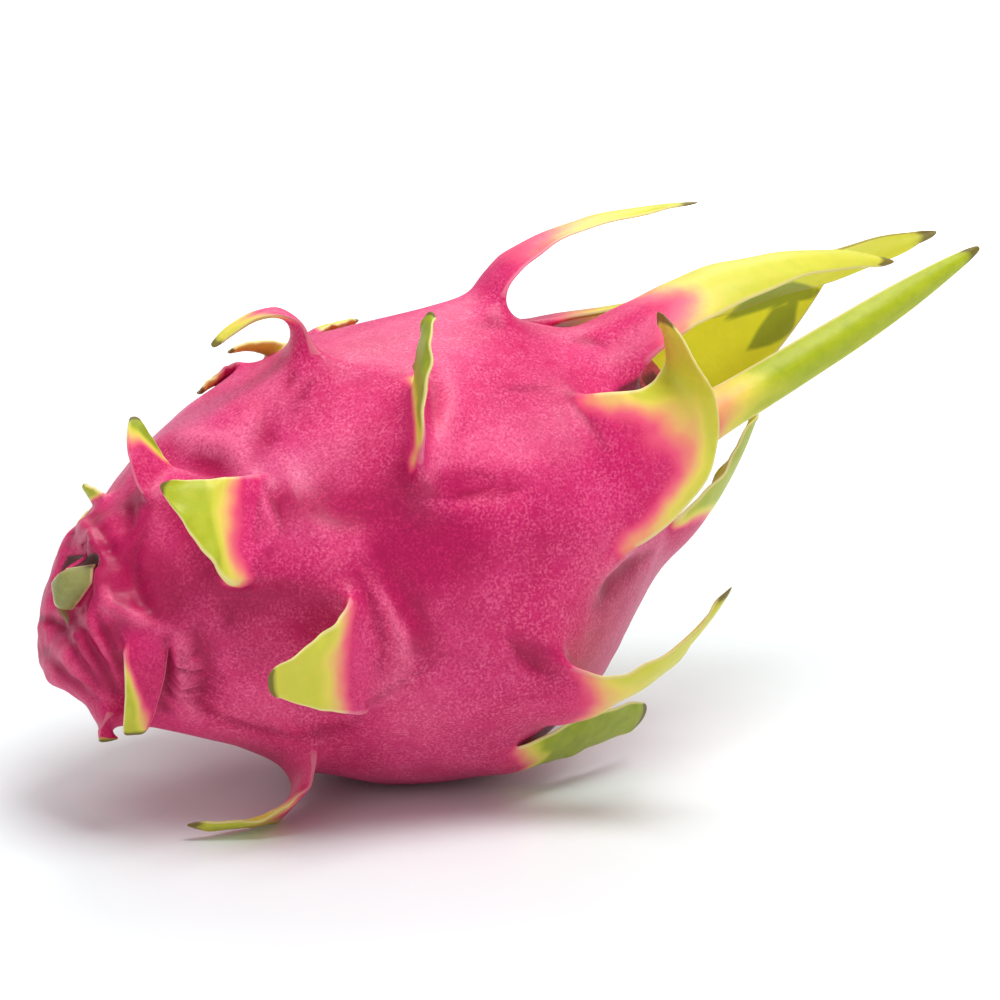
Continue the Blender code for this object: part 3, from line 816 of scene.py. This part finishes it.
# The margins turn first over a strip that is broader on a broad bract. On the body it only fades out.
BODY_RIM = 2.2
rim_width = np.array([BODY_RIM] + [1.0 + 0.12 * bract.width for bract in BRACTS])[kind]
sooner = of_bracts("rim") * np.exp(-(margin / rim_width) ** 2) + of_bracts("crown_face") * (face - 0.5)
sooner += of_bracts("lean") * u
patchy = 0.10 * grain(places, 9.0, 4) + 0.04 * grain(places, 3.0, 5)
turned = (t + sooner + patchy - of_bracts("start")) / (of_bracts("end") - of_bracts("start"))
ripe = of_bracts("green") * ease(0.0, 1.0, turned) * ease(0.0, 0.06, t)
dried = (t + 0.03 * patchy - 1 + of_bracts("brown")) / of_bracts("brown")
brown = ease(0.0, 1.0, dried) * (kind > 0)

# Painted shade in deep magenta lies in the hollows and where shade falls, and painted highlight in pale pink
# on the crests and lit places; on the far side the skin is deeper or paler at random. A painted sheen in dull
# lilac covers the upper shoulder by the stem, and the skin under the crown and along the underside is a
# greyer mauve, partly its own tone and partly painted shade.
shades = before_camera * sum(
    shade.amount * np.exp(-(near_path(seen_places, shade.path)[0] / shade.width) ** 2) for shade in SHADES
)
shades += (1 - before_camera) * 1.4 * grain(places, 16.0, 9)
dents = skin_relief - 0.4 * swell
deep_tone_and_shade = np.clip(shades, 0.0, 1.0) * 0.9 + np.clip(-dents / 0.8, 0.0, 1.0)
light = np.clip(-shades, 0.0, 1.0) * 0.7 + np.clip(dents / 0.9 - 0.1, 0.0, 0.8)
on_shoulder = ease(12.0, 36.0, above) * ease(5.0, -35.0, along) * (1 - stem_end)
painted_sheen = on_shoulder * ease(-0.5, 0.3, grain(places, 11.0, 8))
under_belly = 0.5 * ease(-14.0, -34.0, above)
mauve_and_shade = np.maximum(ease(10.0, 36.0, along) * ease(8.0, -22.0, above), under_belly)

# The stem end and the blades are sleeker than the body, with fewer flecks.
BLADE_SLEEKNESS = 0.6
on_blade = ease(0.02, 0.12, t)
sleek = np.maximum(stem_end, BLADE_SLEEKNESS * on_blade)

# How far each place is from the nearest narrow groove, up to a greatest distance in millimetres; the skin is
# darkened along these grooves as painted shade. Grooves deeper and narrower than these count.
FAR_FROM_SHADED_GROOVES = 3.0
SHADED_GROOVE_DEPTH = 0.3
SHADED_GROOVE_WIDTH = 1.7
shaded_groove_distance = np.full(len(places), FAR_FROM_SHADED_GROOVES)
for fold in FOLDS:
    if fold.height < -SHADED_GROOVE_DEPTH and fold.width < SHADED_GROOVE_WIDTH:
        shaded_groove_distance = np.minimum(shaded_groove_distance, near_path(seen_places, fold.path)[0])
shaded_groove_distance = np.where(before_camera > 0.5, shaded_groove_distance, FAR_FROM_SHADED_GROOVES)

for name, values in (
    ("ripe", ripe),
    ("brown", brown),
    ("edge_dark", of_bracts("edge")),
    ("on_blade", on_blade),
    ("deep_tone_and_shade", np.clip(deep_tone_and_shade, 0, 1) * on_body),
    ("light", np.clip(light, 0, 1) * on_body),
    ("painted_sheen", painted_sheen * on_body),
    ("mauve_and_shade", mauve_and_shade * on_body),
    ("sleek", sleek),
    ("shaded_groove_distance", shaded_groove_distance),
    ("plate", plate),
    ("shred", shred),
    ("shadowed_pit", shadowed_pit),
    ("slit_shadow", slit_shadow),
    ("inner", inner),
    ("shaded", shaded),
):
    write(rounded, name, values)

# The fruit rests on a flat spot, cut level with the ground.
rounded.vertices.foreach_set("co", (places * MM).astype(np.float32).ravel())
bm = bmesh.new()
bm.from_mesh(rounded)
bmesh.ops.bisect_plane(
    bm,
    geom=bm.verts[:] + bm.edges[:] + bm.faces[:],
    dist=SNAP,
    plane_co=(0, 0, 0),
    plane_no=(0, 0, 1),
    use_snap_center=True,
    clear_inner=True,
)
rim = [e for e in bm.edges if e.is_boundary]
bmesh.ops.holes_fill(bm, edges=rim, sides=0)
bmesh.ops.triangulate(bm, faces=[f for f in bm.faces if len(f.verts) > 4])
bm.to_mesh(rounded)
bm.free()
rind.data = rounded
for polygon in rounded.polygons:
    polygon.use_smooth = True

skin = bpy.data.materials.new("dragon_fruit_skin")
skin.use_nodes = True
shader = skin.node_tree.nodes["Principled BSDF"]

# The helpers below place their nodes in the material that is being made: the skin's here, the floor's later.
nodes, links = skin.node_tree.nodes, skin.node_tree.links


def colour(red, green, blue):
    """A colour as seen on a screen, 0 to 255 each, as the amounts of light that the shader takes."""
    shares = [part / 255 for part in (red, green, blue)]
    amounts = [((share + 0.055) / 1.055) ** 2.4 if share > 0.04045 else share / 12.92 for share in shares]
    return (*amounts, 1.0)


def attribute(name):
    """What each vertex carries under that name."""
    node = nodes.new("ShaderNodeAttribute")
    node.attribute_name = name
    return node.outputs["Fac"]


def plug(socket, value):
    """Joins another node's output to a socket, or sets a plain value on it."""
    if isinstance(value, bpy.types.NodeSocket):
        links.new(value, socket)
    else:
        socket.default_value = value


def math_node(operation, *values):
    """The outcome of one sum on two values, or on one."""
    node = nodes.new("ShaderNodeMath")
    node.operation = operation
    for socket, value in zip(node.inputs, values):
        plug(socket, value)
    return node.outputs["Value"]


def mix(factor, a, b):
    """A colour that goes from a to b as the factor goes from 0 to 1."""
    node = nodes.new("ShaderNodeMix")
    node.data_type = "RGBA"
    plug(node.inputs["Factor"], factor)
    plug(node.inputs["A"], a)
    plug(node.inputs["B"], b)
    return node.outputs["Result"]


def lay_on(base, laid, where_on, strength):
    """The base colour with another laid over it there, as strongly as that at most."""
    return mix(math_node("MULTIPLY", where_on, strength), base, laid)


def step(value, low, high):
    """0 where the value is below low, 1 above high, smooth between."""
    node = nodes.new("ShaderNodeMapRange")
    node.interpolation_type = "SMOOTHSTEP"
    plug(node.inputs["Value"], value)
    node.inputs["From Min"].default_value = low
    node.inputs["From Max"].default_value = high
    return node.outputs["Result"]


def noise_node(vector, size, detail=2.0, rough=0.5):
    """Soft noise from 0 to 1 whose lumps are about that many millimetres across."""
    node = nodes.new("ShaderNodeTexNoise")
    plug(node.inputs["Vector"], vector)
    node.inputs["Scale"].default_value = 1 / (size * MM)
    node.inputs["Detail"].default_value = detail
    node.inputs["Roughness"].default_value = rough
    return node.outputs["Fac"]


where = nodes.new("ShaderNodeTexCoord").outputs["Object"]

# Skin: two pinks in soft clouds, a painted sheen, a greyer mauve that is partly painted shade, painted
# highlight, painted shade in the hollows and along narrow grooves, a fine mottle, pale specks and a painted
# shadow in the slit.
ROSE, CARMINE = colour(214, 42, 110), colour(200, 18, 94)
SHEEN_LILAC, GREY_MAUVE = colour(204, 112, 150), colour(196, 78, 122)
HIGHLIGHT_PINK, SHADE_MAGENTA = colour(238, 104, 146), colour(164, 0, 72)
GROOVE_SHADE_RED, PORE_RED = colour(150, 0, 62), colour(156, 0, 72)
FLECK, PAINTED_SHADE_FLECK = colour(244, 128, 168), colour(226, 44, 112)
SLIT_SHADE = colour(92, 14, 38)

clouds = step(noise_node(where, 14.0, 3.0), 0.34, 0.66)
pink = mix(clouds, ROSE, CARMINE)
# Painted sheen: dull lilac on the upper shoulder by the stem.
pink = lay_on(pink, SHEEN_LILAC, attribute("painted_sheen"), 0.50)
# Greyer mauve under the crown and along the belly, partly the skin's own tone and partly painted shade.
pink = lay_on(pink, GREY_MAUVE, attribute("mauve_and_shade"), 0.60)
# Painted highlight: pale pink on the crests and lit places.
pink = lay_on(pink, HIGHLIGHT_PINK, attribute("light"), 0.60)
# Painted shade: deep magenta in the hollows and where shade falls, with a deeper tone at random on the far
# side.
deep_tone_and_shade_places = attribute("deep_tone_and_shade")
pink = lay_on(pink, SHADE_MAGENTA, deep_tone_and_shade_places, 0.95)
# Painted shade: a darker red along the narrow grooves.
pink = lay_on(pink, GROOVE_SHADE_RED, step(attribute("shaded_groove_distance"), 1.10, 0.20), 0.35)
grains = noise_node(where, 0.50, 2.0, 0.65)
pink = lay_on(pink, PORE_RED, step(grains, 0.50, 0.34), 0.36)
# Pale specks, fewer on sleek places, and a deeper pink where painted shade lies.
flecked = math_node("MULTIPLY", step(grains, 0.42, 0.76), step(noise_node(where, 2.6), 0.22, 0.60))
left_by_sleek = math_node("SUBTRACT", 1.0, math_node("MULTIPLY", attribute("sleek"), 0.65))
flecked = math_node("MULTIPLY", flecked, left_by_sleek)
pink = lay_on(pink, mix(deep_tone_and_shade_places, FLECK, PAINTED_SHADE_FLECK), flecked, 0.55)
# Painted shadow in the slit between the shoulder's bract and the crown.
pink = lay_on(pink, SLIT_SHADE, step(attribute("slit_shadow"), -0.6, 0.5), 0.85)

# Bract: from pink through salmon and yellow to green.
ramp = nodes.new("ShaderNodeValToRGB")
STOPS = (
    (0.00, (216, 28, 98)),
    (0.16, (230, 84, 118)),
    (0.32, (236, 142, 112)),
    (0.46, (232, 184, 106)),
    (0.60, (226, 206, 86)),
    (0.76, (203, 201, 64)),
    (0.88, (164, 176, 28)),
    (1.00, (102, 124, 18)),
)
while len(ramp.color_ramp.elements) < len(STOPS):
    ramp.color_ramp.elements.new(0.5)
for element, (position, shade) in zip(ramp.color_ramp.elements, STOPS):
    element.position = position
    element.color = colour(*shade)
ripeness = attribute("ripe")
streaks = math_node("MULTIPLY", math_node("SUBTRACT", noise_node(where, 2.6, 2.0), 0.5), 0.10)
plug(ramp.inputs["Fac"], math_node("ADD", ripeness, streaks))
coloured = mix(step(ripeness, 0.0, 0.14), pink, ramp.outputs["Color"])

# The far bracts' inner faces: yellow where light comes through, and dark green in the shade.
LIT_YELLOW, SHADED_GREEN = colour(236, 230, 40), colour(112, 126, 28)
coloured = lay_on(coloured, LIT_YELLOW, attribute("inner"), 0.55)
coloured = lay_on(coloured, SHADED_GREEN, step(attribute("shaded"), -0.4, 0.5), 0.8)

# The thin edge line, pale pink by the root, cream where fresh and brown where dry, and the dried tips.
EDGE_PINK, EDGE_CREAM = colour(238, 128, 156), colour(238, 222, 156)
EDGE_BROWN, TIP_BROWN = colour(112, 84, 40), colour(92, 74, 34)
on_crest = step(math_node("ABSOLUTE", math_node("SUBTRACT", attribute("face"), 0.5)), 0.46, 0.25)
edge_line = math_node("MULTIPLY", step(attribute("margin"), 0.45, 0.10), attribute("on_blade"))
edge_line = math_node("MULTIPLY", edge_line, on_crest)
fresh_edge = mix(step(ripeness, 0.05, 0.45), EDGE_PINK, EDGE_CREAM)
coloured = lay_on(coloured, mix(attribute("edge_dark"), fresh_edge, EDGE_BROWN), edge_line, 0.75)
coloured = lay_on(coloured, TIP_BROWN, attribute("brown"), 0.85)

# The dry plate of the stem with its pale rim, its shred, the pit darkened by painted shadow, and the scar of
# the flower.
PIT_SHADE, SHRED_BROWN = colour(58, 46, 34), colour(132, 92, 52)
WOOD, DARK_WOOD, WOOD_RIM = colour(160, 160, 96), colour(118, 118, 62), colour(222, 206, 150)
SCAR_SALMON, SCAR_BROWN = colour(226, 150, 118), colour(120, 74, 44)
# Painted shadow in the pit round the stem's plate.
coloured = lay_on(coloured, PIT_SHADE, step(attribute("shadowed_pit"), -0.25, 0.15), 0.9)
coloured = mix(step(attribute("shred"), -0.15, 0.15), coloured, SHRED_BROWN)
wood = mix(noise_node(where, 1.6, 3.0), WOOD, DARK_WOOD)
wood = mix(step(attribute("plate"), 0.75, 0.15), wood, WOOD_RIM)
coloured = mix(step(attribute("plate"), -0.12, 0.12), coloured, wood)
scar_colour = mix(noise_node(where, 1.2, 3.0), SCAR_SALMON, SCAR_BROWN)
coloured = mix(step(attribute("scar"), 0.25, 0.60), coloured, scar_colour)
plug(shader.inputs["Base Color"], coloured)

# The skin is waxy: satin, with fine pits and broader dimples, whose depths are in millimetres.
ROUGHEST, SMOOTHEST = 0.52, 0.34
PIT_DEPTH, DIMPLE_DEPTH = 0.10, 0.25
fine = noise_node(where, 0.8, 3.0, 0.6)
broad = noise_node(where, 3.5, 2.0)
rougher = math_node("MULTIPLY", fine, ROUGHEST - SMOOTHEST)
plug(shader.inputs["Roughness"], math_node("ADD", SMOOTHEST, rougher))
pits = math_node("MULTIPLY", fine, PIT_DEPTH)
dimples = math_node("MULTIPLY", broad, DIMPLE_DEPTH)
bump = nodes.new("ShaderNodeBump")
bump.inputs["Strength"].default_value = 0.5
bump.inputs["Distance"].default_value = 1.0
plug(bump.inputs["Height"], math_node("MULTIPLY", math_node("ADD", pits, dimples), MM))
plug(shader.inputs["Normal"], bump.outputs["Normal"])
shader.inputs["Subsurface Weight"].default_value = 0.12
shader.inputs["Subsurface Radius"].default_value = (1.0, 0.35, 0.35)
shader.inputs["Subsurface Scale"].default_value = 0.003
shader.inputs["Specular IOR Level"].default_value = 0.28
rounded.materials.clear()
rounded.materials.append(skin)

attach(rind, "root")
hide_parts("dragon_fruit")

# The floor
# A studio's pale, satin table top, far wider than the picture. It is one flat sheet, level with the lowest
# point of the fruit.

FLOOR_HALF_SIDE = 6.0
floor_mesh = bpy.data.meshes.new("floor")
bm = bmesh.new()
bmesh.ops.create_grid(bm, x_segments=1, y_segments=1, size=FLOOR_HALF_SIDE)
bm.to_mesh(floor_mesh)
bm.free()
floor = bpy.data.objects.new("floor", floor_mesh)
bpy.context.scene.collection.objects.link(floor)
pale = bpy.data.materials.new("floor_pale")
pale.use_nodes = True
pale_shader = pale.node_tree.nodes["Principled BSDF"]
pale_shader.inputs["Base Color"].default_value = (0.84, 0.90, 0.91, 1)
pale_shader.inputs["Roughness"].default_value = 0.28
pale_shader.inputs["Specular IOR Level"].default_value = 0.3
pale_shader.inputs["Emission Color"].default_value = (1, 1, 1, 1)

# The floor glows more and more from the first distance to the second, in metres, so it runs on white.
GLOW_START, GLOW_END = 0.14, 0.60
GLOW = 0.9
nodes, links = pale.node_tree.nodes, pale.node_tree.links
distance = nodes.new("ShaderNodeVectorMath")
distance.operation = "LENGTH"
plug(distance.inputs[0], nodes.new("ShaderNodeTexCoord").outputs["Object"])
glow = math_node("MULTIPLY", step(distance.outputs["Value"], GLOW_START, GLOW_END), GLOW)
plug(pale_shader.inputs["Emission Strength"], glow)
floor_mesh.materials.append(pale)

# The light and the camera
# White walls stand all round, and three softboxes are made as area lights: above, beyond the stem's end and
# behind. The camera stands where the photograph was taken.

world = bpy.data.worlds.new("studio")
bpy.context.scene.world = world
world.use_nodes = True
walls = world.node_tree.nodes["Background"]
walls.inputs["Color"].default_value = (1, 1, 1, 1)
walls.inputs["Strength"].default_value = 0.42


def softbox(name, place, side, power):
    """A square soft light that faces the fruit: where it stands and its side in metres, power in watts."""
    light = bpy.data.lights.new(name, "AREA")
    light.shape = "SQUARE"
    light.size = side
    light.energy = power
    lamp = bpy.data.objects.new(name, light)
    lamp.location = place
    lamp.rotation_euler = (MIDDLE - Vector(place)).to_track_quat("-Z", "Y").to_euler()
    bpy.context.scene.collection.objects.link(lamp)


MIDDLE = Vector((0.02, 0.0, 0.04))
softbox("key", (0.12, -0.20, 0.9), 0.5, 7.4)
softbox("side", (-0.6, -0.5, 0.45), 0.4, 0.6)
softbox("rear", (0.3, 0.6, 0.7), 0.5, 3.0)

SENSOR = 36.0
lens = bpy.data.cameras.new("camera")
lens.sensor_width = SENSOR
lens.lens = PIXELS_A_MM * DISTANCE * SENSOR / PHOTO_SIZE
lens.clip_start, lens.clip_end = 0.01, 20.0
camera = bpy.data.objects.new("camera", lens)
stand = Matrix((right, up, back)).transposed().to_4x4()
stand.translation = (aim + back * DISTANCE) * MM
camera.matrix_world = stand
bpy.context.scene.collection.objects.link(camera)
bpy.context.scene.camera = camera
bpy.context.scene.view_settings.view_transform = "Standard"
